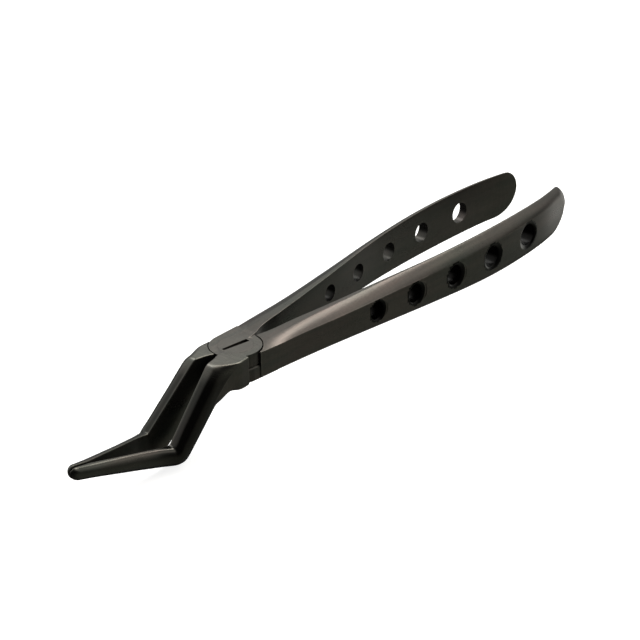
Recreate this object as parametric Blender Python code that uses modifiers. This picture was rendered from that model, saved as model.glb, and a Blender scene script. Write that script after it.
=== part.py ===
"""Upper-root bayonet extraction forceps with perforated handles.

Two one-piece forged levers cross in a round lap joint and turn on a slotted
screw. Frame: the origin is on the pivot axis, in the plane of the joint's
underside. +X runs along the handles, +Z is the pivot axis and points to the
slotted side, and +Y is the way the upper lever's handle opens. The tool is
modelled closed, with the beak tips meeting.
"""

import math

import bmesh
import bpy
import numpy as np

MM = 0.001

# Lap joint, in millimetres
JOINT_THICKNESS = 8.0
LAP_HEIGHT = 4.0                # plane where the two levers lie on each other
LAP_GAP = 0.3
BOSS_RADIUS = 7.0               # round half of each lever, seen as the arcs around the screw
SEAM_GAP = 0.3                  # between a boss and the shoulders curved around it
HANDLE_SHOULDER_X = 1.8         # where the shoulders start, on the handle side and the beak side
BEAK_SHOULDER_X = -2.8
BOSS_STEPS = 72

# Pivot screw
HEAD_RADIUS = 4.7
HEAD_HEIGHT = 1.8
SHANK_RADIUS = 2.5
SLOT_WIDTH = 1.1
SLOT_LENGTH = 8.3
SLOT_DEPTH = 1.0
SLOT_TURN = math.radians(-7.0)
SCREW_CLEARANCE = 0.1

# Handles, as (distance from the pivot, value) pairs of one lever's outline
HANDLE_END = 133.0
HANDLE_INNER = ((0, 0.2), (7.4, 0.4), (11, 1.5), (20, 2.8), (46, 6.6), (72, 10.3), (90, 11.5),
                (108, 11.4), (120, 10.5), (133, 8.2))
HANDLE_OUTER = ((0, 7.3), (8, 7.8), (20, 8.7), (46, 11.5), (70, 14.0), (88, 15.1), (104, 14.8),
                (118, 13.6), (133, 10.6))
HANDLE_TOP = ((0, 7.9), (5, 8.0), (14, 8.8), (30, 9.7), (63, 12.0), (97, 13.9), (133, 14.9))
HANDLE_BOTTOM = ((0, 0.0), (30, -0.2), (60, -0.4), (97, -0.3), (133, 1.1))
TOP_ROUNDING = 5.0              # length over which each corner of the handle's end curves in
BOTTOM_ROUNDING = 9.0
END_RISE = 0.58                 # height of the end's foremost point, as a share of the handle's

# Handle holes, as (distance from the pivot, diameter) pairs
HOLES = ((43.7, 5.0), (58.2, 5.3), (74.0, 5.8), (90.3, 6.2), (108.4, 6.8))
HOLE_STEPS = 32

# Beaks: down at about 45 degrees, then forward to the tips. The lean is how far the
# bottom of a beak's inner face stands in from its top
BEAK_END = -57.7
BEAK_INNER = ((0, 0.3), (-7.2, 0.3), (-9.3, 1.3), (-13, 2.0), (-21, 2.9), (-28.5, 4.0),
              (-32, 3.65), (-51.5, 0.15), (-60, 0.15))
BEAK_OUTER = ((0, 7.2), (-2.8, 7.4), (-4.5, 8.3), (-6.3, 8.2), (-10, 6.9), (-13, 6.6),
              (-21, 7.3), (-27.5, 7.8), (-32, 6.1), (-39, 4.5), (-46.5, 3.2), (-55, 1.9),
              (-60, 1.5))
BEAK_TOP = ((0, 8.0), (-11.4, 8.0), (-28.3, -8.1), (-60, -2.6))
BEAK_BOTTOM = ((0, 0.0), (-3.0, -0.4), (-8.8, -0.2), (-25.4, -14.5), (-29, -13.8), (-60, -6.1))
BEAK_LEAN = ((-60, 0), (-51, 0), (-28, 0.9), (-20, 0.8), (-10, 0), (0, 0))
BEND_REACH = 1.0                # half the length over which each corner of a beak's outline curves
TIP_ROUNDING = 2.2
END_TURN = 0.46 * math.pi       # an end's last ring, just short of its foremost point

# Squareness of the convex side's upper and lower corners along the lever: 2 is an
# ellipse, and more gives a flatter side with tighter corners
TOP_SQUARENESS = ((-60, 3.4), (-14, 3.6), (-9, 7), (0, 9), (12, 4.5), (30, 3.5), (133, 3.5))
BOTTOM_SQUARENESS = ((-60, 2.2), (-14, 2.4), (-8, 9), (0, 12), (14, 7), (45, 4), (133, 3.4))
RING_STEPS = 16                 # points along the convex side of a section

COATING_COLOUR = (0.034, 0.033, 0.030, 1.0)
COATING_ROUGHNESS = 0.38
COATING_METALLIC = 0.85
SCREW_COLOUR = (0.045, 0.044, 0.041, 1.0)


def clear_scene():
    for item in list(bpy.data.objects):
        bpy.data.objects.remove(item, do_unlink=True)


def make_collection(name):
    collection = bpy.data.collections.new(name)
    bpy.context.scene.collection.children.link(collection)
    return collection


def make_material(name, colour):
    """Black coated steel, with the satin finish that all three pieces share."""
    material = bpy.data.materials.new(name)
    material.use_nodes = True
    shader = material.node_tree.nodes["Principled BSDF"]
    shader.inputs["Base Color"].default_value = colour
    shader.inputs["Roughness"].default_value = COATING_ROUGHNESS
    shader.inputs["Metallic"].default_value = COATING_METALLIC
    return material


def mesh_object(name, mesh_builder, collection):
    """Turn a bmesh in millimetres into an object in metres."""
    bmesh.ops.recalc_face_normals(mesh_builder, faces=mesh_builder.faces)
    bmesh.ops.scale(mesh_builder, vec=(MM, MM, MM), verts=mesh_builder.verts)
    mesh = bpy.data.meshes.new(name)
    mesh_builder.to_mesh(mesh)
    mesh_builder.free()
    item = bpy.data.objects.new(name, mesh)
    collection.objects.link(item)
    return item


def as_guide(item):
    """Hide a cutter or a joined shape, which is not a piece by itself."""
    item.hide_render = True
    item.display_type = "WIRE"
    return item


def boolean(item, other, operation):
    modifier = item.modifiers.new(other.name, "BOOLEAN")
    modifier.operation = operation
    modifier.solver = "EXACT"
    modifier.object = other


def smooth_curve(points):
    """A cubic curve through the points, as a function of the first value."""
    xs, ys = np.array(sorted(points), dtype=float).T
    slopes = np.gradient(ys, xs)

    def value(x):
        i = int(np.clip(np.searchsorted(xs, x) - 1, 0, len(xs) - 2))
        width = xs[i + 1] - xs[i]
        s = (x - xs[i]) / width
        start = (1 + 2 * s) * (1 - s) ** 2 * ys[i] + s * (1 - s) ** 2 * width * slopes[i]
        end = s * s * (3 - 2 * s) * ys[i + 1] + s * s * (s - 1) * width * slopes[i + 1]
        return float(start + end)

    return value


def eased_line(points):
    """Straight stretches between the points, with rounded corners."""
    xs, ys = np.array(sorted(points), dtype=float).T

    def value(x):
        window = np.linspace(x - BEND_REACH, x + BEND_REACH, 15)
        return float(np.mean(np.interp(window, xs, ys)))

    return value


def straight_line(points):
    xs, ys = np.array(sorted(points), dtype=float).T
    return lambda x: float(np.interp(x, xs, ys))


def closing(distance, length):
    """Share of the full size at a distance before a rounded end of that length."""
    if distance >= length:
        return 1.0
    return math.sqrt(max(0.0, 1.0 - ((length - distance) / length) ** 2))


def section(x, inner, outer, bottom, top, side, lean=0.0):
    """One D-shaped ring: a flat inner face and a convex outer side."""
    middle = (top + bottom) / 2
    half = (top - bottom) / 2
    powers = [2 / straight_line(points)(x) for points in (TOP_SQUARENESS, BOTTOM_SQUARENESS)]
    ring = []
    for step in range(RING_STEPS + 1):
        angle = math.pi * step / RING_STEPS
        power = powers[0] if 2 * step <= RING_STEPS else powers[1]
        bulge = math.sin(angle) ** power if 0 < step < RING_STEPS else 0.0
        rise = math.copysign(abs(math.cos(angle)) ** power, math.cos(angle))
        foot = inner - lean * (1 - rise) / 2
        ring.append((x, side * (foot + (outer - foot) * bulge), middle + half * rise))
    return ring


def loft(name, rings, collection):
    builder = bmesh.new()
    loops = [[builder.verts.new(point) for point in ring] for ring in rings]
    count = len(loops[0])
    for near, far in zip(loops, loops[1:]):
        for i in range(count):
            j = (i + 1) % count
            builder.faces.new((near[i], near[j], far[j], far[i]))
    builder.faces.new(loops[0])
    builder.faces.new(loops[-1])
    return as_guide(mesh_object(name, builder, collection))


def handle_outline(x):
    """Inner, outer, bottom and top of the handle at x, with its end rounded."""
    top = smooth_curve(HANDLE_TOP)(x)
    bottom = smooth_curve(HANDLE_BOTTOM)(x)
    foremost = bottom + END_RISE * (top - bottom)
    left = HANDLE_END - x
    top = foremost + (top - foremost) * closing(left, TOP_ROUNDING)
    bottom = foremost + (bottom - foremost) * closing(left, BOTTOM_ROUNDING)
    return smooth_curve(HANDLE_INNER)(x), smooth_curve(HANDLE_OUTER)(x), bottom, top


def handle_stations():
    near_joint = np.linspace(HANDLE_SHOULDER_X, 20, 8)
    along = np.linspace(20, HANDLE_END - BOTTOM_ROUNDING, 17)[1:]
    turn = np.linspace(0, END_TURN, 9)[1:]
    end = HANDLE_END - BOTTOM_ROUNDING * (1 - np.sin(turn))
    return [float(x) for x in (*near_joint, *along, *end)]


def make_handle(name, side, collection):
    rings = []
    for x in handle_stations():
        inner, outer, bottom, top = handle_outline(x)
        rings.append(section(x, inner, outer, bottom, top, side))
    return loft(name, rings, collection)


def beak_stations():
    root = np.linspace(BEAK_SHOULDER_X, -12.5, 9)
    slope = np.linspace(-12.5, -23, 6)[1:]
    elbow = np.linspace(-23, -32, 10)[1:]
    forward = np.linspace(-32, BEAK_END + TIP_ROUNDING, 8)[1:]
    turn = np.linspace(0, END_TURN, 6)[1:]
    tip = BEAK_END + TIP_ROUNDING * (1 - np.sin(turn))
    return [float(x) for x in (*root, *slope, *elbow, *forward, *tip)]


def make_beak(name, side, collection):
    rings = []
    for x in beak_stations():
        inner = eased_line(BEAK_INNER)(x)
        outer = eased_line(BEAK_OUTER)(x)
        top = eased_line(BEAK_TOP)(x)
        bottom = eased_line(BEAK_BOTTOM)(x)
        middle = (top + bottom) / 2
        share = closing(x - BEAK_END, TIP_ROUNDING)
        rings.append(section(x, inner, inner + (outer - inner) * share,
                             middle + (bottom - middle) * share,
                             middle + (top - middle) * share, side,
                             straight_line(BEAK_LEAN)(x)))
    return loft(name, rings, collection)


def make_boss(name, low, high, side, collection):
    """The round half of the joint, with its flank carried on to the handle's root."""
    root_x = 8.0
    web_inner = 3.0             # the web stays clear of the crotch between the handles
    web_outer = smooth_curve(HANDLE_OUTER)(root_x) - 0.4
    points = []
    for step in range(BOSS_STEPS):
        angle = 2 * math.pi * step / BOSS_STEPS
        points.append((BOSS_RADIUS * math.cos(angle), BOSS_RADIUS * math.sin(angle)))
    points.append((root_x, side * web_outer))
    points.append((root_x, side * web_inner))
    builder = bmesh.new()
    for z in (low, high):
        for x, y in points:
            builder.verts.new((x, y, z))
    hull = bmesh.ops.convex_hull(builder, input=builder.verts)
    unused = [item for item in hull["geom_interior"] if isinstance(item, bmesh.types.BMVert)]
    bmesh.ops.delete(builder, geom=unused, context="VERTS")
    return mesh_object(name, builder, collection)


def make_cylinder(name, radius, low, high, steps, collection):
    builder = bmesh.new()
    bmesh.ops.create_cone(builder, cap_ends=True, segments=steps, radius1=radius,
                          radius2=radius, depth=high - low)
    bmesh.ops.translate(builder, vec=(0, 0, (high + low) / 2), verts=builder.verts)
    return as_guide(mesh_object(name, builder, collection))


def make_turned(name, profile, steps, collection):
    """A solid turned about Z from (radius, height) points that run from top to bottom."""
    builder = bmesh.new()
    verts = [builder.verts.new((radius, 0, z)) for radius, z in profile]
    for near, far in zip(verts, verts[1:]):
        builder.edges.new((near, far))
    item = mesh_object(name, builder, collection)
    turn = item.modifiers.new("turn", "SCREW")
    turn.steps = steps
    turn.render_steps = steps
    turn.use_merge_vertices = True
    turn.merge_threshold = 0.00001
    return item


def screw_profile(grow, top, bottom):
    """Head and shank, from the top of the axis to its bottom, grown by a clearance."""
    neck = JOINT_THICKNESS - HEAD_HEIGHT - grow
    return ((0, top), (HEAD_RADIUS + grow, top), (HEAD_RADIUS + grow, neck),
            (SHANK_RADIUS + grow, neck), (SHANK_RADIUS + grow, bottom), (0, bottom))


def cut_handle_holes(lever, side, collection):
    inner_curve = smooth_curve(HANDLE_INNER)
    outer_curve = smooth_curve(HANDLE_OUTER)
    reach = 6.0
    for number, (x, diameter) in enumerate(HOLES, start=1):
        _, _, bottom, top = handle_outline(x)
        centre = (inner_curve(x) + outer_curve(x)) / 2
        ahead = (inner_curve(x + 1) + outer_curve(x + 1)) / 2
        cutter = make_cylinder(f"{lever.name}_hole_{number}", diameter / 2, -reach, reach,
                               HOLE_STEPS, collection)
        cutter.rotation_euler = (math.pi / 2, 0, side * math.atan(ahead - centre))
        cutter.location = (x * MM, side * centre * MM, (bottom + top) / 2 * MM)
        boolean(lever, cutter, "DIFFERENCE")


def make_lever(name, side, upper, parts, guides, bore):
    """One lever: handle on the given side of the XZ plane, beak on the other side."""
    past = 1.5                  # how far the cutters reach beyond the joint's faces
    if upper:
        low = LAP_HEIGHT + LAP_GAP / 2
        high = JOINT_THICKNESS
        pocket_span = (-past, low)
    else:
        low = 0.0
        high = LAP_HEIGHT - LAP_GAP / 2
        pocket_span = (high, JOINT_THICKNESS + past)
    lever = make_boss(name, low, high, side, parts)
    pocket = make_cylinder(f"{name}_pocket", BOSS_RADIUS + SEAM_GAP, *pocket_span,
                           BOSS_STEPS, guides)
    limbs = (make_handle(f"{name}_handle", side, guides),
             make_beak(f"{name}_beak", -side, guides))
    for limb in limbs:
        boolean(limb, pocket, "DIFFERENCE")
        boolean(lever, limb, "UNION")
    boolean(lever, bore, "DIFFERENCE")
    cut_handle_holes(lever, side, guides)
    lever.data.shade_smooth()
    lever.data.set_sharp_from_angle(angle=math.radians(35))
    return lever


def make_pivot_screw(parts, guides):
    screw = make_turned("pivot_screw", screw_profile(0.0, JOINT_THICKNESS, 0.0), 48, parts)
    builder = bmesh.new()
    bmesh.ops.create_cube(builder, size=1.0)
    bmesh.ops.scale(builder, vec=(SLOT_LENGTH, SLOT_WIDTH, 2 * SLOT_DEPTH), verts=builder.verts)
    slot = as_guide(mesh_object("screw_slot", builder, guides))
    slot.location = (0, 0, JOINT_THICKNESS * MM)
    slot.rotation_euler = (0, 0, SLOT_TURN)
    boolean(screw, slot, "DIFFERENCE")
    return screw


def main():
    clear_scene()
    parts = make_collection("extraction_forceps")
    guides = make_collection("cutters")
    bore = as_guide(make_turned("screw_bore",
                                screw_profile(SCREW_CLEARANCE, JOINT_THICKNESS + 1, -1.0),
                                48, guides))
    pivot = bpy.data.objects.new("pivot_axis", None)
    parts.objects.link(pivot)

    upper = make_lever("upper_lever", 1, True, parts, guides, bore)
    upper.parent = pivot
    upper.data.materials.append(make_material("upper_lever_coating", COATING_COLOUR))
    lower = make_lever("lower_lever", -1, False, parts, guides, bore)
    lower.data.materials.append(make_material("lower_lever_coating", COATING_COLOUR))
    screw = make_pivot_screw(parts, guides)
    screw.data.materials.append(make_material("screw_coating", SCREW_COLOUR))


main()
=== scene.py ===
"""Finished look of the extraction forceps: fine levers and screw, coating, studio."""

import math

import bmesh
import bpy
import numpy as np
from mathutils import Matrix, Vector

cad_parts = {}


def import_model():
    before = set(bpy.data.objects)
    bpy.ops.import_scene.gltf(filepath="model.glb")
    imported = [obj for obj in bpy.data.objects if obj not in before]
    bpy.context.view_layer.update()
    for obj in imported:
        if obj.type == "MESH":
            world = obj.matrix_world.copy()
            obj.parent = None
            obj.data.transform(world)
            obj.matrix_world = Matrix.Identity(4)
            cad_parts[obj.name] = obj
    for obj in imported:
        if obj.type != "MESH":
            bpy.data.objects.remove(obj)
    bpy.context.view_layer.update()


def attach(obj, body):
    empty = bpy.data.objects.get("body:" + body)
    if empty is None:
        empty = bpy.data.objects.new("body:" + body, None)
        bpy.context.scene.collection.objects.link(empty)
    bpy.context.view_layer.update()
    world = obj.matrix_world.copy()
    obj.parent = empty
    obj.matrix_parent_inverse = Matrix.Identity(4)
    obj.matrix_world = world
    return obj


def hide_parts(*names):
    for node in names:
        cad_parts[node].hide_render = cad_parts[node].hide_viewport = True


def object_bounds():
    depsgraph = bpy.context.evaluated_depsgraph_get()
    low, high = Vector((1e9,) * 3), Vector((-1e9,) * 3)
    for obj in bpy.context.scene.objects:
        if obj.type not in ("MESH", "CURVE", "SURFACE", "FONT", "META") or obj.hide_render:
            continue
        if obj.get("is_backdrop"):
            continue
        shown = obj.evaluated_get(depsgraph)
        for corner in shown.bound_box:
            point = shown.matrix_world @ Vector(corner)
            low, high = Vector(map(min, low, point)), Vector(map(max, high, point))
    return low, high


MM = 0.001

# Lengths are in millimetres. Values keyed 1 and -1 belong to the upper and the lower lever:
# the key is the side of the XZ plane that the lever's handle is on

# Lap joint and screw, as in the solids but for the slot's taper, the hairline, the hidden
# step and the chamfers
JOINT_THICKNESS = 8.0
LAP_HEIGHT = 4.0
LAP_GAP = 0.3
BOSS_RADIUS = 7.0
SEAM_GAP = 0.3
HANDLE_SHOULDER_X = 1.8
BEAK_SHOULDER_X = -2.8
ROUND_STEPS = 160
HEAD_RADIUS = 4.7
HEAD_HEIGHT = 1.8
SHANK_RADIUS = 2.5
SLOT_LENGTH = 8.3
SLOT_WIDTHS = (0.95, 1.45)       # at its beak end and at its handle end
SLOT_DEPTH = 1.0
SLOT_TURN = math.radians(-7.0)
HAIRLINE = 0.03                 # around the flush screw
HIDDEN_STEP = 0.01              # keeps faces that lie in one plane apart
BOSS_CHAMFERS = {1: (0.15, 0), -1: (0, 0.35)}    # of a boss's lower and its upper rim
ROOT_X = 8.0                    # where a boss's flank meets the handle's root
ROOT_INNER = 3.0
ROOT_INSET = 0.4                # of that flank, from the handle's outer outline
POCKET_PAST = 1.5               # how far a pocket's cutter reaches past the joint
CUT_PAST = 1.0                  # the same for the screw's bore and its slot

# Handle outline, as (distance from the pivot, value) pairs
HANDLE_END = 133.0
HANDLE_INNER = ((0, 0.2), (7.4, 0.4), (11, 1.5), (20, 2.8), (46, 6.6), (72, 10.3), (90, 11.5),
                (108, 11.4), (120, 10.5), (133, 8.2))
HANDLE_OUTER = ((0, 7.3), (8, 7.8), (20, 8.7), (46, 11.5), (70, 14.0), (88, 15.1), (104, 14.8),
                (118, 13.6), (133, 10.6))
HANDLE_TOP = ((0, 7.9), (5, 8.0), (14, 8.8), (30, 9.7), (63, 12.0), (97, 13.9), (133, 14.9))
HANDLE_BOTTOM = ((0, 0.0), (30, -0.2), (60, -0.4), (97, -0.3), (133, 1.1))
TOP_ROUNDING = 5.0
BOTTOM_ROUNDING = 9.0
RIM_ROUNDING = 2.6              # the outer face's own turn-in at the handle's end
END_RISE = 0.58

# Handle section: a flat strip on top, then a rolled shoulder down to the outer face
FLAT_SHARE = ((0, 0.45), (18, 0.40), (30, 0.30), (50, 0.20), (80, 0.13), (133, 0.10))
SHOULDER_DROP = ((0, 0.3), (5, 0.5), (10, 0.9), (20, 1.4), (30, 1.75), (45, 2.1), (60, 2.4),
                 (90, 2.7), (133, 2.7))
SHOULDER_START = ((0, 0), (10, 3), (20, 9), (40, 14), (133, 17))    # its first slope, degrees
FOOT_ROUNDING = ((0, 0.7), (12, 1.0), (45, 2.0), (133, 2.4))
EDGE_ROUNDING = 0.14            # along the inner edges
EDGE_LIMIT = 0.2                # largest edge rounding, as a share of a handle's height
                                # or of half a beak's
ROUNDING_LIMIT = 0.3            # the same for a handle's foot and shoulder, and a beak's width
FOOT_WIDTH_LIMIT = 0.6          # largest foot, as a share of the width
STRIP_LIMIT = 1.3               # narrowest flat strip, in edge roundings
STEEPEST = 88.0                 # steepest last slope of a shoulder, degrees
OUTER_CROWN = {1: ((0, 0.7), (78, 0.7), (95, 0.3), (112, -0.2), (133, -0.2)),
               -1: ((0, 0.25), (133, 0.25))}    # how far the long faces swell
INNER_CROWN = {1: 0.1, -1: 1.15}
CROWN_EASING = 4.0              # half the length over which OUTER_CROWN's corners curve
CROWN_START = 12                # where the swell sets in, and how long it takes
CROWN_REACH = 25

# Handle holes: distance from the pivot, bore, and diameter of the flared mouth outside
HOLES = ((43.7, 5.0, 6.6), (58.2, 5.3, 7.3), (74.0, 5.7, 8.0), (90.3, 6.1, 8.6),
         (108.4, 6.4, 8.8))
MOUTH_DEPTH = 0.7
FLARE_START = 1.25              # the flare is drawn from past the face, as a share of its depth
FLARE_POWER = 1.5
FLARE_POINTS = 10
DRILL_PAST = 3.0                # how far a drill reaches past both faces
DRILL_MARGIN = 1.0              # how far its outer end reaches round the mouth
DRILL_STEPS = 72

# Beaks
BEAK_END = -57.7
BEAK_INNER = ((0, 0.3), (-7.2, 0.3), (-9.3, 1.3), (-13, 2.0), (-21, 2.9), (-28.5, 3.8),
              (-32, 3.55), (-51.5, 0.15), (-60, 0.15))
BEAK_OUTER = ((0, 7.1), (-2.8, 7.55), (-6.5, 8.1), (-10, 6.9), (-13, 6.7),
              (-21, 7.5), (-27.5, 8.0), (-32, 6.3), (-39, 4.7), (-46.5, 3.4), (-55, 2.0),
              (-60, 1.5))
FLANK_SWELL = ((-60, 0), (-18, 0), (-15, 0.18), (-5, 0.18), (-3, 0.1), (0, 0))
BEAK_TOP = ((-12.8, 8.0), (-28.3, -7.8), (-60, -2.4))    # of the convex body
BODY_RISE = {1: 0.53, -1: 0.15}  # how it goes on under the flat top
BEAK_BOTTOM = ((0, 0.0), (-3.0, -0.5), (-8.8, -0.2), (-25.4, -14.5), (-29, -13.8), (-60, -6.1))
BEAK_LEAN = ((-60, 0), (-51, 0), (-28, 1.4), (-20, 1.0), (-10, 0), (0, 0))
BEND_REACH = 1.0                # half the length over which each corner of an outline curves
UPRIGHT_REACH = 0.6             # the same for the top outline
BEAK_EDGE = 0.3
BEAK_EDGE_TURN = 82             # degrees that the edges turn beside the inner face
TIP_ROUNDING = 2.2
END_TURN = 0.49 * math.pi

# How softly the flat top rolls over into the convex body
TOP_BLEND = {1: ((-60, 1.3), (-12.6, 1.3), (-9.5, 0.3), (0, 0.25)),
             -1: ((-60, 0.15), (0, 0.15))}

# Squareness of the convex side's corners: 2 is an ellipse, and more is flatter
TOP_SQUARENESS = {1: ((-60, 1.6), (-34, 1.6), (-27, 2.15), (-15, 2.4), (-9, 2.8), (0, 2.8)),
                  -1: ((-60, 2.6), (-30, 2.8), (-20, 2.8), (0, 2.8))}
BOTTOM_SQUARENESS = ((-60, 2.2), (-13, 2.15), (-8, 6), (-5, 16), (0, 16))
EASING_ROUNDS = 4               # of the section's corners

# Rings and stations
EDGE_POINTS = 6
FACE_POINTS = 16
STRIP_POINTS = 7
SHOULDER_POINTS = 18
FOOT_POINTS = 12
UNDERSIDE_POINTS = 6
INNER_FACE_POINTS = 14
OUTLINE_POINTS = 120
EASING_SAMPLES = 31
SHOULDER_SAMPLES = 60
SECTION_SAMPLES = 721
SAMPLE_GUARD = 0.01             # skips a sample that the cut-off point already stands for
HANDLE_STRETCHES = ((HANDLE_SHOULDER_X, 20, 36), (20, 120, 150),    # start, end, number
                    (120, HANDLE_END - BOTTOM_ROUNDING, 6))
BEAK_STRETCHES = ((BEAK_SHOULDER_X, -12.5, 36), (-12.5, -23, 24), (-23, -32, 40),
                  (-32, BEAK_END + TIP_ROUNDING, 44))
HANDLE_END_RINGS = 36
BEAK_END_RINGS = 20
SHARP_ANGLE = math.radians(32)
FLAT_ANGLE = math.radians(0.5)

# Coating
COATING_COLOUR = (0.0500, 0.0500, 0.0475)
SCREW_COLOUR = (0.070, 0.071, 0.067)
LEVER_SEED = 3.1                # shifts the pattern from one piece to the next
SCREW_SEED = 7.7
SEED_SHIFTS = (1.0, 0.37, 0.71)  # along x, y and z
METALLIC = 0.9
GREEN_TINT, ROSE_TINT = (0.98, 1.0, 0.94), (1.12, 1.0, 0.99)
STREAK_TONES = ((0.91, 0.93, 0.92), (1.11, 1.05, 1.03))
TONE_STOPS = (0.36, 0.64)       # where a two-tone pattern has its pure tones
NOISE_RANGE = (0.3, 0.7)        # the part of a noise that a span covers

# Noises: scale along x, y and z per metre, detail, roughness
GRAIN = ((450, 9000, 9000), 3, 0.6)
CROSS_GRAIN = ((1500, 260, 260), 3, 0.6)
CLOUD = ((55, 160, 160), 3, 0.5)
STREAK = ((28, 520, 520), 3, 0.55)
TINT = ((30, 75, 75), 2, 0.5)

# What the noises and the stored marks do to brightness, roughness and bump
GRAIN_LEVEL = (0.88, 1.12)
CLOUD_LEVEL = (0.93, 1.07)
CROSS_LEVEL = (0.94, 1.06)
WEAR_AND_SHEEN_PATCHES = (0.6, 1.2)
# painted shade: how much the polished beaks are darkened
BEAK_PAINTED_SHADE = 0.7
SATIN_ROUGHNESS = (0.28, 0.35)
GRAIN_ROUGHNESS = (-0.03, 0.03)
POLISH_GLOSS = -0.20
CROSS_BUMP = 0.5
BUMP_STRENGTH = 0.12
BUMP_DISTANCE = 0.00005         # metres

# Where the beaks are polished, and darkened as painted shade: fades along x and z, and across
# from the inner face
CREASE_X, CREASE_Z = -7.2, 7.2
CREASE_SLOPE = 0.95
CREASE_FADE = (-0.3, 0.5)
CONVEX_FADE = (0.0, 0.2)
THINNEST = 0.1
FORWARD_FADE = (27, 38)
FORWARD_DULLING = 0.6
ROOT_FADE = (6.0, 8.5)
TOP_FADE = (0.7, 4.2)

# Painted shade: the coating is darkened in the holes, from the first to the last, and on the
# boss's flank, in the recess
HOLE_SHADE = {1: (0.93, 0.50), -1: (0.97, 0.97)}
RECESS_SHADE = 0.5
WALL_NORMAL = 0.85              # faces turned further sideways than this are not hole walls,
INNER_SKIN = 1.5                # unless they are further out than this from the inner face
BOSS_BAND = 0.4                 # how near to the boss's radius its flank's faces lie,
FLANK_NORMAL = 0.9              # and how far they may turn up or down

# Where it is lighter: worn along edges, and a painted sheen on the joint's flat top
SHEEN_FROM = {1: (-15, -8), -1: (0, 4)}    # where the painted sheen on the flat top begins, along -x
TOP_BAND = 0.25                 # how near to the joint's top height it counts as the top
SHEEN_LEVEL, SHEEN_GAIN = 0.38, 0.4
SHEEN_RISE = (-2, 12)
EDGE_WEAR = 0.5
WORN_TURN = (8, 18)             # degrees that the surface turns at a worn edge's points
WORN_FACE = 1.2                 # square millimetres: larger faces take no edge wear

# Camera
VIEW_AZIMUTH = math.radians(-47.563)
VIEW_ELEVATION = math.radians(26.356)
VIEW_ROLL = math.radians(-0.71)
VIEW_DISTANCE = 484.8
VIEW_TARGET = (32.62, 0.0, 2.90)
VIEW_LENS = 100.0
VIEW_SENSOR = 36.0
VIEW_CLIP = 0.01                # metres

# Key light, in degrees and metres
KEY_AZIMUTH, KEY_ELEVATION = 23, 62
KEY_DISTANCE = 0.6
KEY_SIZE = (0.17, 0.30)
KEY_TARGET = (0.035, 0, 0)
KEY_BRIGHTNESS = 12.0           # luminance of its face
KEY_COLOUR = (1.0, 0.94, 0.86)

# Floor and backdrop
FLOOR_REACH = 4000
FLOOR_GREY, FLOOR_ROUGHNESS, FLOOR_GLOW = 0.5, 0.9, 0.85
BACKDROP_RADIUS = 3900
BACKDROP_GREY, BACKDROP_ROUGHNESS, BACKDROP_GLOW = 0, 0.5, 1.0
BACKDROP_DETAIL = 4

# Room light: direction, cosines between which it fades in, heights above the horizon
# between which it fades in, and colour. The first is everywhere. +X is beyond the handles'
# ends, and +Y is the far handle's side
ANY_HEIGHT = (-3.0, -2.0)
ROOM_LIGHT = (
    ((0, 0, 1), (-3.0, -2.0), ANY_HEIGHT, (0.03, 0.03, 0.03)),
    ((0.86, 0.10, 0.50), (0.20, 0.92), (0.02, 0.50), (0.95, 0.97, 0.92)),
    ((0.70, 0.64, 0.32), (0.94, 1.0), (0.2, 0.45), (0.48, 0.48, 0.455)),
    ((-0.30, 0.75, 0.60), (0.68, 0.97), ANY_HEIGHT, (1.60, 1.60, 1.54)),
    ((0.68, -0.48, 0.56), (0.89, 0.99), ANY_HEIGHT, (0.40, 0.38, 0.33)),
    ((0.42, -0.30, 0.86), (0.94, 0.995), ANY_HEIGHT, (1.60, 1.48, 1.33)),
    ((0.66, 0.73, -0.18), (0.90, 0.99), ANY_HEIGHT, (0.20, 0.20, 0.195)),
    ((0.16, 0.57, 0.81), (0.95, 0.99), ANY_HEIGHT, (4.5, 4.5, 4.4)),
    ((0.30, -0.85, -0.45), (0.45, 1.00), ANY_HEIGHT, (0.30, 0.32, 0.26)),
    ((0.95, -0.10, -0.16), (0.92, 1.00), ANY_HEIGHT, (1.45, 1.45, 1.36)),
)


# ---------------------------------------------------------------- curves and rings

def smooth_curve(points):
    """A cubic curve through the points, as a function of the first value."""
    xs, ys = np.array(sorted(points), dtype=float).T
    slopes = np.gradient(ys, xs)

    def value(x):
        i = int(np.clip(np.searchsorted(xs, x) - 1, 0, len(xs) - 2))
        width = xs[i + 1] - xs[i]
        s = (x - xs[i]) / width
        start = (1 + 2 * s) * (1 - s) ** 2 * ys[i] + s * (1 - s) ** 2 * width * slopes[i]
        end = s * s * (3 - 2 * s) * ys[i + 1] + s * s * (s - 1) * width * slopes[i + 1]
        return float(start + end)

    return value


def eased_line(points, reach=BEND_REACH):
    """Straight stretches between the points, with rounded corners."""
    xs, ys = np.array(sorted(points), dtype=float).T

    def value(x):
        window = np.linspace(x - reach, x + reach, EASING_SAMPLES)
        return float(np.mean(np.interp(window, xs, ys)))

    return value


def closing(distance, length):
    """Share of the full size at a distance before a rounded end of that length."""
    if distance >= length:
        return 1.0
    return math.sqrt(max(0.0, 1.0 - ((length - distance) / length) ** 2))


def arc(centre, radii, start, end, count):
    """Points on an ellipse in the section's plane, angles in degrees from +y to +z."""
    turn = np.radians(np.linspace(start, end, count))
    return [(centre[0] + radii[0] * math.cos(t), centre[1] + radii[1] * math.sin(t))
            for t in turn]


def line(start, end, count):
    """Points between two ends, without the ends themselves."""
    share = np.linspace(0, 1, count + 2)[1:-1]
    return [(start[0] + (end[0] - start[0]) * s, start[1] + (end[1] - start[1]) * s)
            for s in share]


def crowned(points, swell):
    """The same points, pushed out in the middle of the row."""
    last = len(points) + 1
    return [(y + swell * math.sin(math.pi * (i + 1) / last), z)
            for i, (y, z) in enumerate(points)]


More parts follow.
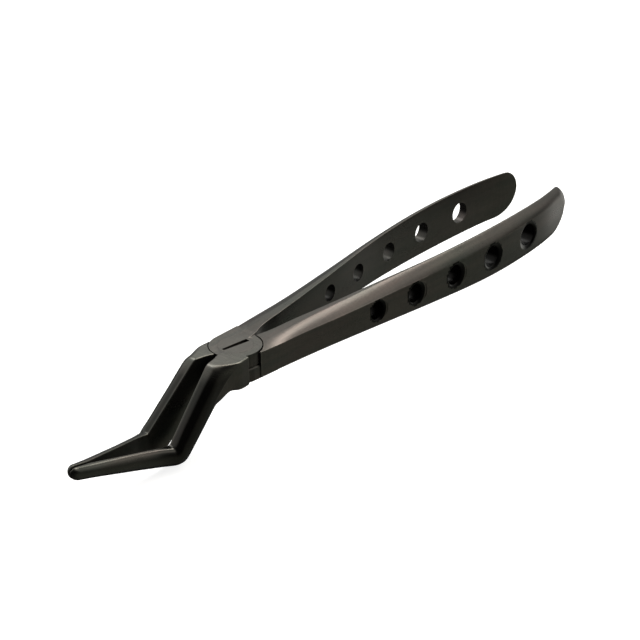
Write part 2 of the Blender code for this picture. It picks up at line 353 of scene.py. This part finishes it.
def shoulder(start, end, first, count):
    """A rolled edge: the slope grows evenly with length from its first angle."""
    width, drop = end[0] - start[0], start[1] - end[1]
    last = min(STEEPEST, 2 * math.degrees(math.atan2(drop, width)) - first)
    turn = np.radians(np.linspace(first, max(last, first), SHOULDER_SAMPLES))
    along = np.concatenate(([0], np.cumsum(np.cos(turn[1:] / 2 + turn[:-1] / 2))))
    down = np.concatenate(([0], np.cumsum(np.sin(turn[1:] / 2 + turn[:-1] / 2))))
    pick = np.linspace(0, SHOULDER_SAMPLES - 1, count)
    ys = start[0] + np.interp(pick, range(SHOULDER_SAMPLES), along / along[-1]) * width
    zs = start[1] - np.interp(pick, range(SHOULDER_SAMPLES), down / down[-1]) * drop
    return list(zip(ys.tolist(), zs.tolist()))


outer_crown = {side: eased_line(points, CROWN_EASING)
               for side, points in OUTER_CROWN.items()}
handle_inner, handle_outer = smooth_curve(HANDLE_INNER), smooth_curve(HANDLE_OUTER)
handle_top, handle_bottom = smooth_curve(HANDLE_TOP), smooth_curve(HANDLE_BOTTOM)
flat_share, shoulder_drop = smooth_curve(FLAT_SHARE), smooth_curve(SHOULDER_DROP)
shoulder_start, foot_rounding = smooth_curve(SHOULDER_START), smooth_curve(FOOT_ROUNDING)
beak_inner, beak_outer = eased_line(BEAK_INNER), eased_line(BEAK_OUTER)
beak_top, beak_bottom = eased_line(BEAK_TOP, UPRIGHT_REACH), eased_line(BEAK_BOTTOM)
beak_lean, flank_swell = eased_line(BEAK_LEAN), eased_line(FLANK_SWELL)
top_squareness = {side: eased_line(points) for side, points in TOP_SQUARENESS.items()}
top_blend = {side: eased_line(points) for side, points in TOP_BLEND.items()}
bottom_squareness = eased_line(BOTTOM_SQUARENESS)


def handle_ring(x, side):
    """The handle's section at x, from the foot of the inner face up and round."""
    top, bottom = handle_top(x), handle_bottom(x)
    foremost = bottom + END_RISE * (top - bottom)
    left = HANDLE_END - x
    top = foremost + (top - foremost) * closing(left, TOP_ROUNDING)
    bottom = foremost + (bottom - foremost) * closing(left, BOTTOM_ROUNDING)
    inner, outer = handle_inner(x), handle_outer(x)
    outer -= (outer - inner) * 0.5 * (1 - closing(left, RIM_ROUNDING))
    height, width = top - bottom, outer - inner
    fullness = min(1.0, max(0.0, (x - CROWN_START) / CROWN_REACH))
    edge = min(EDGE_ROUNDING, EDGE_LIMIT * height)
    foot = min(foot_rounding(x), ROUNDING_LIMIT * height)
    drop = min(shoulder_drop(x), ROUNDING_LIMIT * height)
    strip = inner + max(edge * STRIP_LIMIT, width * flat_share(x))
    crease = (outer, top - drop)
    ring = arc((inner + edge, bottom + edge), (edge, edge), 270, 180, EDGE_POINTS)
    back = line((inner, bottom + edge), (inner, top - edge), FACE_POINTS)
    ring += crowned(back, -INNER_CROWN[side] * closing(left, BOTTOM_ROUNDING) * fullness)
    ring += arc((inner + edge, top - edge), (edge, edge), 180, 90, EDGE_POINTS)
    ring += line((inner + edge, top), (strip, top), STRIP_POINTS)
    ring += shoulder((strip, top), crease, shoulder_start(x), SHOULDER_POINTS)
    face = line(crease, (outer, bottom + foot), FACE_POINTS)
    ring += crowned(face, outer_crown[side](x) * fullness)
    across = min(foot, FOOT_WIDTH_LIMIT * width)
    ring += arc((outer - across, bottom + foot), (across, foot), 0, -90, FOOT_POINTS)
    ring += line((outer - across, bottom), (inner + edge, bottom), UNDERSIDE_POINTS)
    return ring


def beak_ring(x, side):
    """The beak's section at x: a flat inner face and a convex outer side.

    The side is the beak's own, so the values of its lever are those keyed by the other side.
    """
    share = closing(x - BEAK_END, TIP_ROUNDING)
    inner = beak_inner(x)
    outer = inner + (beak_outer(x) - inner) * share
    flat = min(JOINT_THICKNESS, beak_top(x))
    top = beak_top(x) + max(0.0, x - BEAK_TOP[0][0]) * BODY_RISE[-side]
    bottom, lean = beak_bottom(x), beak_lean(x)
    middle = (top + bottom) / 2
    half = (top - bottom) / 2 * share
    edge = min(BEAK_EDGE, EDGE_LIMIT * half, ROUNDING_LIMIT * (outer - inner))
    turn = np.linspace(0, math.pi, SECTION_SAMPLES)
    power = np.where(turn <= math.pi / 2, 2 / top_squareness[-side](x),
                     2 / bottom_squareness(x))
    bulge = np.clip(np.sin(turn), 0, 1) ** power
    rise = np.sign(np.cos(turn)) * np.abs(np.cos(turn)) ** power
    foot = inner - lean * (1 - rise) / 2
    swell = np.where(turn < math.pi / 2, flank_swell(x), 0)
    ys = np.minimum(foot + (outer + swell - foot) * bulge, outer)
    body, lid = middle + half * rise, middle + (flat - middle) * share
    blend = top_blend[-side](x) * share
    near = np.clip(1 - np.abs(body - lid) / blend, 0, 1)
    zs = np.minimum(body, lid) - near ** 2 * blend / 4
    depth = ys - foot
    full = np.argmax(depth)
    first = float(np.interp(edge, depth[:full + 1], np.arange(full + 1)))
    last = float(np.interp(-edge, -depth[full:], np.arange(full, len(depth))))
    between = np.arange(math.ceil(first + SAMPLE_GUARD), last)
    steps = np.concatenate(([first], between, [last]))
    ys, zs = np.interp(steps, range(len(ys)), ys), np.interp(steps, range(len(zs)), zs)
    length = np.concatenate(([0], np.cumsum(np.hypot(np.diff(ys), np.diff(zs)))))
    pick = np.linspace(0, length[-1], OUTLINE_POINTS)
    ys, zs = np.interp(pick, length, ys), np.interp(pick, length, zs)
    for _ in range(EASING_ROUNDS):
        ys[1:-1] = (ys[:-2] + 2 * ys[1:-1] + ys[2:]) / 4
        zs[1:-1] = (zs[:-2] + 2 * zs[1:-1] + zs[2:]) / 4
    outline = list(zip(ys.tolist(), zs.tolist()))
    high, low = outline[0], outline[-1]
    ring = arc((low[0], low[1] + edge), (edge, edge), 180 + BEAK_EDGE_TURN, 180, EDGE_POINTS)
    ring += line((low[0] - edge, low[1] + edge), (high[0] - edge, high[1] - edge),
                 INNER_FACE_POINTS)
    ring += arc((high[0], high[1] - edge), (edge, edge), 180, 180 - BEAK_EDGE_TURN, EDGE_POINTS)
    return ring + outline


def loft(name, stations, ring_at, side):
    """Quads between the rings of successive stations, closed at both ends."""
    builder = bmesh.new()
    loops = []
    for x in stations:
        loops.append([builder.verts.new((x, side * y, z)) for y, z in ring_at(x, side)])
    count = len(loops[0])
    for near, far in zip(loops, loops[1:]):
        for i in range(count):
            j = (i + 1) % count
            builder.faces.new((near[i], near[j], far[j], far[i]))
    builder.faces.new(loops[0])
    builder.faces.new(loops[-1])
    return mesh_object(name, builder)


def spaced(*stretches):
    """Stations along a lever: (start, end, number) for each stretch."""
    stations = [stretches[0][0]]
    for start, end, number in stretches:
        stations += list(np.linspace(start, end, number + 1)[1:])
    return [float(x) for x in stations]


def end_stations(end, rounding, number):
    """Stations through a rounded end. The rounding is negative where x falls towards it."""
    turn = np.linspace(0, END_TURN, number)[1:]
    return [float(x) for x in end - rounding * (1 - np.sin(turn))]


# ---------------------------------------------------------------- objects

def mesh_object(name, builder):
    """Turn a bmesh in millimetres into an object in metres."""
    bmesh.ops.recalc_face_normals(builder, faces=builder.faces)
    bmesh.ops.scale(builder, vec=(MM, MM, MM), verts=builder.verts)
    mesh = bpy.data.meshes.new(name)
    builder.to_mesh(mesh)
    builder.free()
    item = bpy.data.objects.new(name, mesh)
    bpy.context.scene.collection.objects.link(item)
    return item


def combine(item, other, operation):
    """Apply a boolean and remove the other object."""
    modifier = item.modifiers.new("combine", "BOOLEAN")
    modifier.operation = operation
    modifier.solver = "EXACT"
    modifier.object = other
    graph = bpy.context.evaluated_depsgraph_get()
    result = bpy.data.meshes.new_from_object(item.evaluated_get(graph))
    item.modifiers.clear()
    old = item.data
    item.data = result
    bpy.data.meshes.remove(old)
    bpy.data.objects.remove(other, do_unlink=True)


def turned(name, profile, steps=ROUND_STEPS):
    """A solid turned about Z from (radius, height) points, from top to bottom."""
    builder = bmesh.new()
    rows = []
    for radius, z in profile:
        if radius == 0:
            rows.append([builder.verts.new((0, 0, z))])
            continue
        angles = [2 * math.pi * i / steps for i in range(steps)]
        rows.append([builder.verts.new((radius * math.cos(a), radius * math.sin(a), z))
                     for a in angles])
    for upper, lower in zip(rows, rows[1:]):
        for i in range(steps):
            j = (i + 1) % steps
            corners = [upper[i % len(upper)], upper[j % len(upper)],
                       lower[j % len(lower)], lower[i % len(lower)]]
            builder.faces.new(list(dict.fromkeys(corners)))
    return mesh_object(name, builder)


def boss(name, low, high, side, chamfers):
    """The round half of the joint, with its flank carried on to the handle's root.

    The chamfers are those of its lower and its upper rim.
    """
    points = []
    for step in range(ROUND_STEPS):
        angle = 2 * math.pi * step / ROUND_STEPS
        points.append((BOSS_RADIUS * math.cos(angle), BOSS_RADIUS * math.sin(angle)))
    points.append((ROOT_X, side * (handle_outer(ROOT_X) - ROOT_INSET)))
    points.append((ROOT_X, side * ROOT_INNER))
    builder = bmesh.new()
    levels = ((low, chamfers[0]), (low + chamfers[0], 0), (high - chamfers[1], 0),
              (high, chamfers[1]))
    for z, inset in levels:
        share = 1 - inset / BOSS_RADIUS
        for x, y in points:
            builder.verts.new((x * share, y * share, z))
    hull = bmesh.ops.convex_hull(builder, input=builder.verts)
    unused = [item for item in hull["geom_interior"] if isinstance(item, bmesh.types.BMVert)]
    bmesh.ops.delete(builder, geom=unused, context="VERTS")
    loose = [item for item in builder.verts if not item.link_faces]
    bmesh.ops.delete(builder, geom=loose, context="VERTS")
    bmesh.ops.dissolve_limit(builder, angle_limit=FLAT_ANGLE, verts=builder.verts,
                             edges=builder.edges)
    return mesh_object(name, builder)


def screw_profile(grow, top, bottom):
    """The screw's outline from top to bottom, grown all round for its bore."""
    neck = JOINT_THICKNESS - HEAD_HEIGHT - grow
    return ((0, top), (HEAD_RADIUS + grow, top), (HEAD_RADIUS + grow, neck),
            (SHANK_RADIUS + grow, neck), (SHANK_RADIUS + grow, bottom), (0, bottom))


def hole_height(x):
    """Height of a hole's middle: halfway up the handle."""
    return (handle_top(x) + handle_bottom(x)) / 2


def hole_cutter(x, bore, mouth, side):
    """A drill across the handle, with a flared mouth at the outer face."""
    face = handle_outer(x) + outer_crown[side](x)
    profile = [(0, face + DRILL_PAST), (mouth / 2 + DRILL_MARGIN, face + DRILL_PAST)]
    for share in np.linspace(FLARE_START, 0, FLARE_POINTS):
        radius = bore / 2 + (mouth - bore) / 2 * share ** FLARE_POWER
        profile.append((radius, face - MOUTH_DEPTH * (1 - share)))
    profile.append((bore / 2, handle_inner(x) - DRILL_PAST))
    profile.append((0, handle_inner(x) - DRILL_PAST))
    cutter = turned("drill", profile, DRILL_STEPS)
    cutter.data.transform(Matrix.Translation(Vector((x, 0, hole_height(x))) * MM)
                          @ Matrix.Rotation(-side * math.pi / 2, 4, "X"))
    return cutter


def make_lever(name, side):
    """One lever: handle on the given side of the XZ plane, beak on the other side."""
    reach = BOSS_RADIUS + SEAM_GAP
    if side > 0:
        low, high = LAP_HEIGHT + LAP_GAP / 2, JOINT_THICKNESS - HIDDEN_STEP
        top, bottom = low + HIDDEN_STEP, -POCKET_PAST
    else:
        low, high = HIDDEN_STEP, LAP_HEIGHT - LAP_GAP / 2
        top, bottom = JOINT_THICKNESS + POCKET_PAST, high - HIDDEN_STEP
    pocket = ((0, top), (reach, top), (reach, bottom), (0, bottom))
    lever = boss(name, low, high, side, BOSS_CHAMFERS[side])
    handle_stations = spaced(*HANDLE_STRETCHES)
    handle_stations += end_stations(HANDLE_END, BOTTOM_ROUNDING, HANDLE_END_RINGS)
    beak_stations = spaced(*BEAK_STRETCHES)
    beak_stations += end_stations(BEAK_END, -TIP_ROUNDING, BEAK_END_RINGS)
    for limb in (loft("handle", handle_stations, handle_ring, side),
                 loft("beak", beak_stations, beak_ring, -side)):
        combine(limb, turned("pocket", pocket), "DIFFERENCE")
        combine(lever, limb, "UNION")
    bore = turned("bore", screw_profile(HAIRLINE, JOINT_THICKNESS + CUT_PAST, -CUT_PAST))
    combine(lever, bore, "DIFFERENCE")
    for x, hole_bore, mouth in HOLES:
        combine(lever, hole_cutter(x, hole_bore, mouth, side), "DIFFERENCE")
    lever.data.shade_smooth()
    lever.data.set_sharp_from_angle(angle=SHARP_ANGLE)
    return lever


def make_screw():
    """The pivot screw with its tapered slot."""
    screw = turned("screw_fine", screw_profile(0.0, JOINT_THICKNESS, 0.0))
    builder = bmesh.new()
    half = SLOT_LENGTH / 2
    narrow, wide = SLOT_WIDTHS
    outline = ((-half, -narrow / 2), (half, -wide / 2), (half, wide / 2), (-half, narrow / 2))
    rings = [[builder.verts.new((x, y, z)) for x, y in outline]
             for z in (JOINT_THICKNESS - SLOT_DEPTH, JOINT_THICKNESS + CUT_PAST)]
    builder.faces.new(rings[0])
    builder.faces.new(rings[1])
    for i in range(4):
        j = (i + 1) % 4
        builder.faces.new((rings[0][i], rings[0][j], rings[1][j], rings[1][i]))
    slot = mesh_object("slot", builder)
    slot.data.transform(Matrix.Rotation(SLOT_TURN, 4, "Z"))
    combine(screw, slot, "DIFFERENCE")
    screw.data.shade_smooth()
    screw.data.set_sharp_from_angle(angle=SHARP_ANGLE)
    return screw


# ---------------------------------------------------------------- coating

def smooth_step(values, start, end):
    """0 up to the start, 1 from the end, and a smooth rise between."""
    share = np.clip((values - start) / (end - start), 0, 1)
    return share * share * (3 - 2 * share)


def mark_surface(mesh, side):
    """Store the marks that the coating reads: polish with painted shade, painted shade, wear
    with a painted sheen.
    """
    points = np.zeros(len(mesh.vertices) * 3)
    mesh.vertices.foreach_get("co", points)
    x, y, z = points.reshape(-1, 3).T / MM
    mark_polish_and_painted_shade(mesh, side, x, y, z)
    mark_shade(mesh, side)
    # painted sheen: the joint's flat top is lightened, more towards the beaks
    on_top = (np.abs(z - JOINT_THICKNESS) < TOP_BAND) * smooth_step(-x, *SHEEN_FROM[side])
    mark_wear_and_sheen(mesh, on_top * (SHEEN_LEVEL + SHEEN_GAIN * smooth_step(-x, *SHEEN_RISE)))


def mark_polish_and_painted_shade(mesh, side, x, y, z):
    """Store how polished each point is: the beaks' convex sides are, the rest is brushed."""
    out = -side * y
    inner = np.array([beak_inner(v) if v < 0 else 0.0 for v in x])
    outer = np.array([beak_outer(v) if v < 0 else 1.0 for v in x])
    depth = (out - inner) / np.maximum(outer - inner, THINNEST)
    convex = smooth_step(depth, *CONVEX_FADE)
    past_crease = smooth_step(-(x - CREASE_X) - (CREASE_Z - z) * CREASE_SLOPE, *CREASE_FADE)
    along = past_crease * (1 - FORWARD_DULLING * smooth_step(-x, *FORWARD_FADE))
    below_joint = smooth_step(-x, *ROOT_FADE) * smooth_step(JOINT_THICKNESS - z, *TOP_FADE)
    # the coating also darkens the polished sides by this, as painted shade
    polish_and_painted_shade = convex * along * below_joint
    layer = mesh.attributes.new("polish_and_painted_shade", "FLOAT", "POINT")
    layer.data.foreach_set("value", polish_and_painted_shade.astype(np.float32))


def in_hole(centre, normal, side):
    """Whether a face belongs to the wall or the mouth of a handle hole."""
    return any(math.hypot(centre.x - x, centre.z - hole_height(x)) < mouth / 2
               and (abs(normal.y) < WALL_NORMAL
                    or side * centre.y > handle_inner(x) + INNER_SKIN)
               for x, _, mouth in HOLES)


def mark_shade(mesh, side):
    """Store how much each face is darkened as painted shade: in the holes and on the boss's
    flank.
    """
    shade = []
    for face in mesh.polygons:
        centre, normal = face.center / MM, face.normal
        from_boss = abs(math.hypot(centre.x, centre.y) - BOSS_RADIUS)
        if in_hole(centre, normal, side):
            shade.append(np.interp(centre.x, (HOLES[0][0], HOLES[-1][0]), HOLE_SHADE[side]))
        elif from_boss < BOSS_BAND and abs(normal.z) < FLANK_NORMAL:
            shade.append(RECESS_SHADE)
        else:
            shade.append(0.0)
    layer = mesh.attributes.new("shade", "FLOAT", "FACE")
    layer.data.foreach_set("value", np.array(shade, dtype=np.float32))


def mark_wear_and_sheen(mesh, painted_sheen):
    """Store how much each corner is lightened: worn along outer edges, painted sheen on the
    joint's top.
    """
    builder = bmesh.new()
    builder.from_mesh(mesh)
    turn = np.zeros(len(builder.verts))
    for edge in builder.edges:
        angle = max(0.0, edge.calc_face_angle_signed(0.0)) / 2
        for vert in edge.verts:
            turn[vert.index] += angle
    builder.free()
    worn = EDGE_WEAR * smooth_step(np.degrees(turn), *WORN_TURN)
    corners = np.zeros(len(mesh.loops), dtype=int)
    mesh.loops.foreach_get("vertex_index", corners)
    starts, counts = (np.zeros(len(mesh.polygons), dtype=int) for _ in range(2))
    areas = np.zeros(len(mesh.polygons))
    mesh.polygons.foreach_get("loop_start", starts)
    mesh.polygons.foreach_get("loop_total", counts)
    mesh.polygons.foreach_get("area", areas)
    small = np.zeros(len(corners), dtype=bool)
    for start, count, area in zip(starts, counts, areas):
        small[start:start + count] = area < WORN_FACE * MM * MM
    layer = mesh.attributes.new("wear_and_sheen", "FLOAT", "CORNER")
    value = np.maximum(np.where(small, worn[corners], 0), painted_sheen[corners])
    layer.data.foreach_set("value", value.astype(np.float32))


def node(tree, kind, **settings):
    """A new node with these settings."""
    made = tree.nodes.new(kind)
    for key, value in settings.items():
        setattr(made, key, value)
    return made


def coating(name, base, seed):
    """Satin black coating on brushed steel, with polished beaks, painted shade and a painted
    sheen.
    """
    material = bpy.data.materials.new(name)
    material.use_nodes = True
    tree = material.node_tree
    link = tree.links.new
    shader = tree.nodes["Principled BSDF"]
    shader.inputs["Metallic"].default_value = METALLIC
    place = node(tree, "ShaderNodeTexCoord").outputs["Object"]

    def stretched(scale):
        mapping = node(tree, "ShaderNodeMapping")
        mapping.inputs["Scale"].default_value = scale
        mapping.inputs["Location"].default_value = [seed * share for share in SEED_SHIFTS]
        link(place, mapping.inputs["Vector"])
        return mapping.outputs["Vector"]

    def noise(scale, detail, rough):
        made = node(tree, "ShaderNodeTexNoise")
        made.inputs["Scale"].default_value = 1.0
        made.inputs["Detail"].default_value = detail
        made.inputs["Roughness"].default_value = rough
        link(stretched(scale), made.inputs["Vector"])
        return made.outputs["Fac"]

    def span(value, low, high):
        made = node(tree, "ShaderNodeMapRange")
        made.inputs["From Min"].default_value = NOISE_RANGE[0]
        made.inputs["From Max"].default_value = NOISE_RANGE[1]
        made.inputs["To Min"].default_value = low
        made.inputs["To Max"].default_value = high
        link(value, made.inputs["Value"])
        return made.outputs["Result"]

    def math_node(operation, first, second):
        made = node(tree, "ShaderNodeMath", operation=operation)
        for socket, value in zip(made.inputs, (first, second)):
            if isinstance(value, (int, float)):
                socket.default_value = value
            else:
                link(value, socket)
        return made.outputs["Value"]

    polish_and_painted_shade = node(tree, "ShaderNodeAttribute", attribute_name="polish_and_painted_shade").outputs["Fac"]
    shaded = node(tree, "ShaderNodeAttribute", attribute_name="shade").outputs["Fac"]
    wear_and_sheen = node(tree, "ShaderNodeAttribute", attribute_name="wear_and_sheen").outputs["Fac"]
    grain, cross_grain, cloud = noise(*GRAIN), noise(*CROSS_GRAIN), noise(*CLOUD)
    streak, tint = noise(*STREAK), noise(*TINT)

    def two_tone(value, first, second):
        made = node(tree, "ShaderNodeValToRGB")
        ends = made.color_ramp.elements
        ends[0].position, ends[1].position = TONE_STOPS
        ends[0].color, ends[1].color = (*first, 1), (*second, 1)
        link(value, made.inputs["Fac"])
        return made.outputs["Color"]

    def multiply(first, second):
        made = node(tree, "ShaderNodeMix", data_type="RGBA", blend_type="MULTIPLY")
        made.inputs["Factor"].default_value = 1.0
        link(first, made.inputs["A"])
        link(second, made.inputs["B"])
        return made.outputs["Result"]

    colour = two_tone(tint, [v * k for v, k in zip(base, GREEN_TINT)],
                      [v * k for v, k in zip(base, ROSE_TINT)])
    colour = multiply(colour, two_tone(streak, *STREAK_TONES))
    level = math_node("MULTIPLY", span(grain, *GRAIN_LEVEL), span(cloud, *CLOUD_LEVEL))
    level = math_node("MULTIPLY", level, span(cross_grain, *CROSS_LEVEL))
    # painted shade: the polished beaks are darkened
    painted_beak_shade = math_node("MULTIPLY", polish_and_painted_shade, BEAK_PAINTED_SHADE)
    level = math_node("MULTIPLY", level, math_node("SUBTRACT", 1.0, painted_beak_shade))
    # painted shade in the holes and on the boss's flank
    level = math_node("MULTIPLY", level, math_node("SUBTRACT", 1.0, shaded))
    # lighter where worn along edges, and by the painted sheen on the joint's top
    patchy = math_node("MULTIPLY", wear_and_sheen, span(cross_grain, *WEAR_AND_SHEEN_PATCHES))
    level = math_node("MULTIPLY", level, math_node("ADD", 1.0, patchy))
    link(multiply(colour, level), shader.inputs["Base Color"])

    satin = math_node("ADD", span(cloud, *SATIN_ROUGHNESS), span(grain, *GRAIN_ROUGHNESS))
    glossy = math_node("MULTIPLY", polish_and_painted_shade, POLISH_GLOSS)
    link(math_node("ADD", satin, glossy), shader.inputs["Roughness"])

    height = math_node("ADD", grain, math_node("MULTIPLY", cross_grain, CROSS_BUMP))
    brushed = math_node("SUBTRACT", 1.0, polish_and_painted_shade)
    bump = node(tree, "ShaderNodeBump")
    bump.inputs["Strength"].default_value = BUMP_STRENGTH
    bump.inputs["Distance"].default_value = BUMP_DISTANCE
    link(math_node("MULTIPLY", height, brushed), bump.inputs["Height"])
    link(bump.outputs["Normal"], shader.inputs["Normal"])
    return material


# ---------------------------------------------------------------- studio

def make_camera():
    """The camera, placed by its angles round the target."""
    sine, cosine = math.sin(VIEW_AZIMUTH), math.cos(VIEW_AZIMUTH)
    flat = math.cos(VIEW_ELEVATION)
    back = Vector((sine * flat, -cosine * flat, math.sin(VIEW_ELEVATION)))
    right = Vector((cosine, sine, 0.0))
    up = back.cross(right)
    turned_right = right * math.cos(VIEW_ROLL) + up * math.sin(VIEW_ROLL)
    turned_up = up * math.cos(VIEW_ROLL) - right * math.sin(VIEW_ROLL)
    data = bpy.data.cameras.new("camera")
    data.lens = VIEW_LENS
    data.sensor_width = VIEW_SENSOR
    data.clip_start = VIEW_CLIP
    camera = bpy.data.objects.new("camera", data)
    bpy.context.scene.collection.objects.link(camera)
    axes = Matrix((turned_right, turned_up, back)).transposed().to_4x4()
    place = Vector(VIEW_TARGET) + back * VIEW_DISTANCE
    camera.matrix_world = Matrix.Translation(place * MM) @ axes
    bpy.context.scene.camera = camera


def direction(azimuth, elevation):
    """A unit vector: azimuth in degrees from +X to +Y, elevation above the floor."""
    a, e = math.radians(azimuth), math.radians(elevation)
    return Vector((math.cos(a) * math.cos(e), math.sin(a) * math.cos(e), math.sin(e)))


def make_key_light():
    """A rectangular softbox that faces the handles' first third."""
    data = bpy.data.lights.new("key_softbox", "AREA")
    data.shape = "RECTANGLE"
    data.size, data.size_y = KEY_SIZE
    data.energy = KEY_BRIGHTNESS * math.pi * KEY_SIZE[0] * KEY_SIZE[1]
    data.color = KEY_COLOUR
    light = bpy.data.objects.new("key_softbox", data)
    bpy.context.scene.collection.objects.link(light)
    towards = direction(KEY_AZIMUTH, KEY_ELEVATION)
    light.matrix_world = (Matrix.Translation(Vector(KEY_TARGET) + towards * KEY_DISTANCE)
                          @ towards.to_track_quat("Z", "Y").to_matrix().to_4x4())


def make_world():
    """Soft room light, dark on the side the tool is seen from."""
    world = bpy.data.worlds.new("studio")
    bpy.context.scene.world = world
    world.use_nodes = True
    tree = world.node_tree
    link = tree.links.new
    background = tree.nodes["Background"]
    place = node(tree, "ShaderNodeTexCoord").outputs["Generated"]
    total = None
    height = node(tree, "ShaderNodeSeparateXYZ")
    link(place, height.inputs["Vector"])

    def fade(value, start, end):
        ramp = node(tree, "ShaderNodeMapRange", interpolation_type="SMOOTHSTEP")
        ramp.inputs["From Min"].default_value = start
        ramp.inputs["From Max"].default_value = end
        link(value, ramp.inputs["Value"])
        return ramp.outputs["Result"]

    for towards, cosines, heights, colour in ROOM_LIGHT:
        dot = node(tree, "ShaderNodeVectorMath", operation="DOT_PRODUCT")
        link(place, dot.inputs[0])
        dot.inputs[1].default_value = Vector(towards).normalized()
        share = node(tree, "ShaderNodeMath", operation="MULTIPLY")
        link(fade(dot.outputs["Value"], *cosines), share.inputs[0])
        link(fade(height.outputs["Z"], *heights), share.inputs[1])
        lobe = node(tree, "ShaderNodeVectorMath", operation="SCALE")
        lobe.inputs[0].default_value = colour
        link(share.outputs["Value"], lobe.inputs["Scale"])
        if total is None:
            total = lobe.outputs["Vector"]
            continue
        both = node(tree, "ShaderNodeVectorMath", operation="ADD")
        link(total, both.inputs[0])
        link(lobe.outputs["Vector"], both.inputs[1])
        total = both.outputs["Vector"]
    link(total, background.inputs["Color"])
    background.inputs["Strength"].default_value = 1.0


def glowing(name, grey, roughness, glow):
    """A plain material without highlights that gives off white light."""
    material = bpy.data.materials.new(name)
    material.use_nodes = True
    inputs = material.node_tree.nodes["Principled BSDF"].inputs
    inputs["Base Color"].default_value = (grey, grey, grey, 1)
    inputs["Roughness"].default_value = roughness
    inputs["Specular IOR Level"].default_value = 0.0
    inputs["Emission Color"].default_value = (1, 1, 1, 1)
    inputs["Emission Strength"].default_value = glow
    return material


def make_floor(height):
    """A pale floor that the tool stands on, not mirrored in the tool."""
    builder = bmesh.new()
    bmesh.ops.create_grid(builder, x_segments=1, y_segments=1, size=FLOOR_REACH)
    bmesh.ops.translate(builder, vec=(0, 0, height / MM), verts=builder.verts)
    floor = mesh_object("floor", builder)
    floor.data.materials.append(glowing("floor", FLOOR_GREY, FLOOR_ROUGHNESS, FLOOR_GLOW))
    floor.visible_glossy = False
    floor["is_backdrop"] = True


def make_backdrop():
    """A pale dome round the floor, seen by the camera only."""
    builder = bmesh.new()
    bmesh.ops.create_icosphere(builder, subdivisions=BACKDROP_DETAIL, radius=BACKDROP_RADIUS)
    dome = mesh_object("backdrop", builder)
    dome.data.materials.append(glowing("backdrop", BACKDROP_GREY, BACKDROP_ROUGHNESS,
                                       BACKDROP_GLOW))
    dome.visible_diffuse = dome.visible_glossy = dome.visible_shadow = False
    dome.visible_transmission = False
    dome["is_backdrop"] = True


def main():
    """Build the pieces round the frame, then the studio."""
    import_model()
    make_camera()
    levers = {"upper_lever": (1, "upper_half"), "lower_lever": (-1, "lower_half")}
    for number, (name, (side, body)) in enumerate(levers.items()):
        piece = make_lever(name + "_fine", side)
        mark_surface(piece.data, side)
        piece.data.materials.clear()
        piece.data.materials.append(coating(name + "_coating", COATING_COLOUR,
                                            LEVER_SEED * number))
        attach(piece, body)
        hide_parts(name)
    screw = make_screw()
    screw.data.materials.clear()
    screw.data.materials.append(coating("screw_coating", SCREW_COLOUR, SCREW_SEED))
    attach(screw, "lower_half")
    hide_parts("pivot_screw")

    make_world()
    make_key_light()
    make_floor(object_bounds()[0].z)
    make_backdrop()
    bpy.context.scene.view_settings.view_transform = "Standard"


main()
